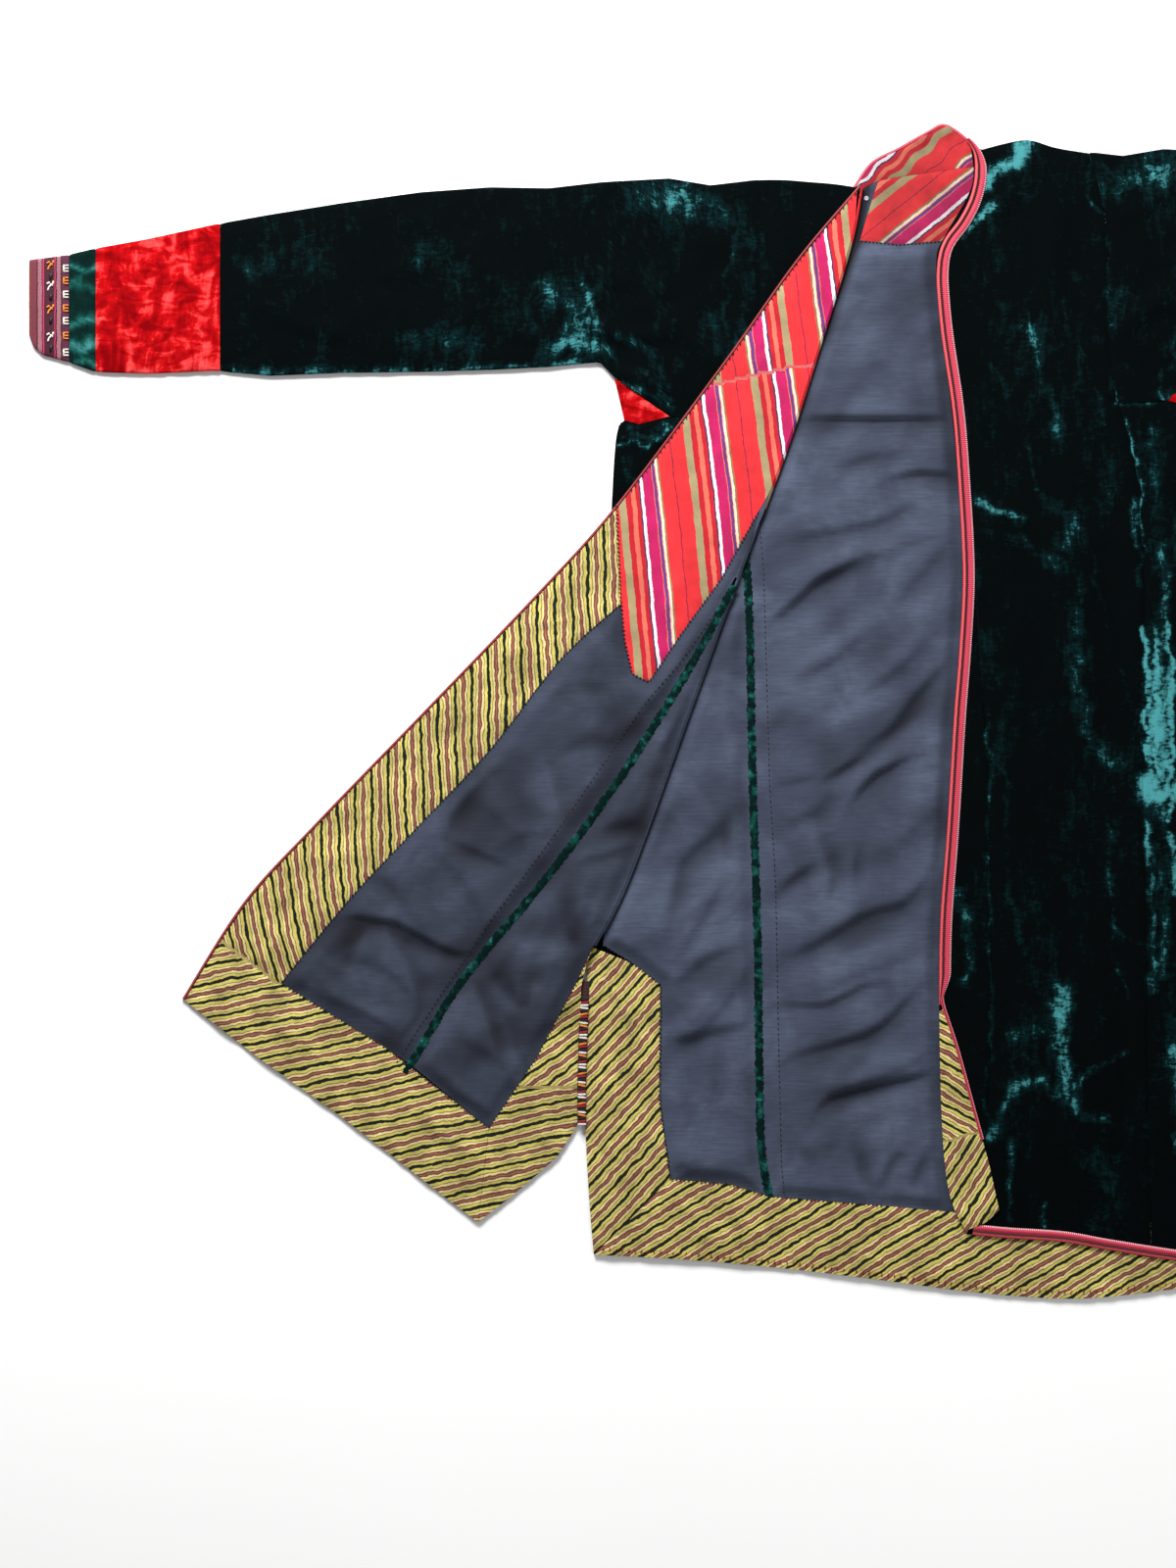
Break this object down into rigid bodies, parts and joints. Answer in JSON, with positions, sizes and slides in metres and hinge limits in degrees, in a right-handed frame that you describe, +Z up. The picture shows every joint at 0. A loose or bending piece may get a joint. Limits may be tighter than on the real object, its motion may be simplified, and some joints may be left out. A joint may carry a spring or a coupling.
{
  "type": "chapan",
  "caption": "Long dark green velvet chapan laid flat, right front turned open over its slate lining, with striped facings, red sleeve bands and woven cuffs.",
  "frame": {"origin": "centre of the garment's footprint on the surface that it lies on", "axes": "+X towards the wearer's left cuff, +Y from hem to collar, +Z up from the surface"},
  "size_m": [1.81, 1.198, 0.0089],
  "materials": {
    "velvet": "deep green silk velvet with teal lights",
    "lining": "matte slate blue cotton",
    "red_velvet": "crushed red velvet",
    "red_stripe": "warp-striped red cotton",
    "yellow_stripe": "fine yellow, black and rose stripes",
    "braid": "woven rose and maroon silk edging",
    "cuff": "maroon woven band with small white and orange motifs"
  },
  "bodies": {
    "root": {"back_centre": "velvet", "back_gore_r": "velvet", "back_gore_l": "velvet", "collar": "velvet", "front_l_panel": "velvet", "front_l_gore": "velvet", "front_l_edge_gore": "velvet", "front_r_panel": "velvet", "front_r_gore": "velvet", "sleeve_r": "velvet", "sleeve_l": "velvet", "sleeve_trim_r": "velvet", "sleeve_trim_l": "velvet", "back_seam_allowance": "velvet", "front_r_seam_allowance": "velvet", "back_lining_centre": "lining", "back_lining_gore": "lining", "front_r_lining": "lining", "front_r_gore_lining": "lining", "sleeve_band_r": "red_velvet", "sleeve_band_l": "red_velvet", "gusset_r": "red_velvet", "gusset_l": "red_velvet", "back_neck_facing": "red_stripe", "collar_facing": "red_stripe", "front_r_neck_facing": "red_stripe", "back_hem_facing": "yellow_stripe", "back_slit_facing": "yellow_stripe", "front_l_corner_facing": "yellow_stripe", "front_r_edge_facing": "yellow_stripe", "front_r_hem_facing": "yellow_stripe", "front_r_slit_facing": "yellow_stripe", "front_l_braid": "braid", "front_l_hem_braid": "braid", "front_r_edge_cord": "braid", "back_slit_braid": "braid", "cuff_r": "cuff", "cuff_l": "cuff"}
  },
  "joints": []
}
